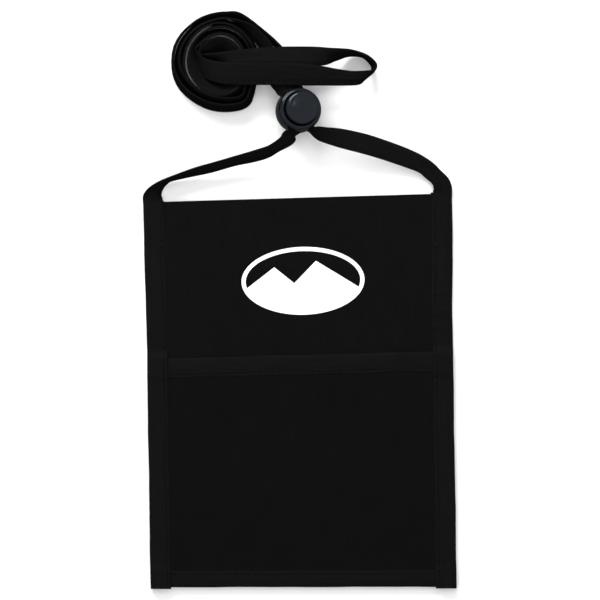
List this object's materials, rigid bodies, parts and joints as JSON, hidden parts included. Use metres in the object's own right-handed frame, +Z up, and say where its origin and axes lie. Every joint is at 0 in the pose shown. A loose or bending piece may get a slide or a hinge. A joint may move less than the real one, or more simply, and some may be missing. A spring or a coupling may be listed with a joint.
{
  "type": "neck pouch wallet",
  "caption": "Flat cloth neck pouch with a main compartment, a front slip pocket, taped edges and a rolled-up neck strap that runs through a spring cord lock.",
  "frame": {"origin": "on the surface the pouch lies on, under the middle of the pouch", "axes": "+Z up out of the printed front, +Y from the pouch's bottom edge to its mouth and the strap, +X to the right as seen from the front"},
  "size_m": [0.1404, 0.2648, 0.0241],
  "materials": {
    "black_cloth": "plain-woven black nylon, matt",
    "black_tape": "black woven tape, folded, slightly sheeny",
    "black_thread": "black polyester sewing thread",
    "white_ink": "white screen print on cloth, matt",
    "dark_plastic": "moulded dark blue-grey plastic, glossy",
    "spring_steel": "bright spring wire"
  },
  "bodies": {
    "pouch": {"back_panel": "black_cloth", "front_panel": "black_cloth", "front_pocket_panel": "black_cloth", "pocket_top_binding": "black_tape", "bottom_binding": "black_tape", "left_side_binding": "black_tape", "right_side_binding": "black_tape", "left_side_seam_thread": "black_thread", "right_side_seam_thread": "black_thread", "bottom_seam_thread": "black_thread", "pocket_band_seam_thread": "black_thread", "printed_emblem": "white_ink", "strap_left_strand": "black_tape", "strap_right_strand": "black_tape", "strap_upper_left_strand": "black_tape", "strap_upper_right_strand": "black_tape", "strap_roll": "black_tape", "strap_end_loop": "black_tape"},
    "toggle": {"toggle_body": "dark_plastic", "toggle_spring": "spring_steel"},
    "plunger": {"toggle_plunger": "dark_plastic"}
  },
  "joints": [
    {"name": "toggle_slide", "type": "slide", "parent": "pouch", "child": "toggle", "axis": [0, 1, 0], "range_m": [-0.025, 0], "deforming": ["strap_left_strand", "strap_right_strand", "strap_upper_left_strand", "strap_upper_right_strand"]},
    {"name": "plunger_press", "type": "slide", "parent": "toggle", "child": "plunger", "axis": [0.1812, 0.1045, 0.9779], "range_m": [-0.004, 0], "stiffness_N_per_m": 400, "springref_m": 0.002, "deforming": ["toggle_spring"]}
  ]
}
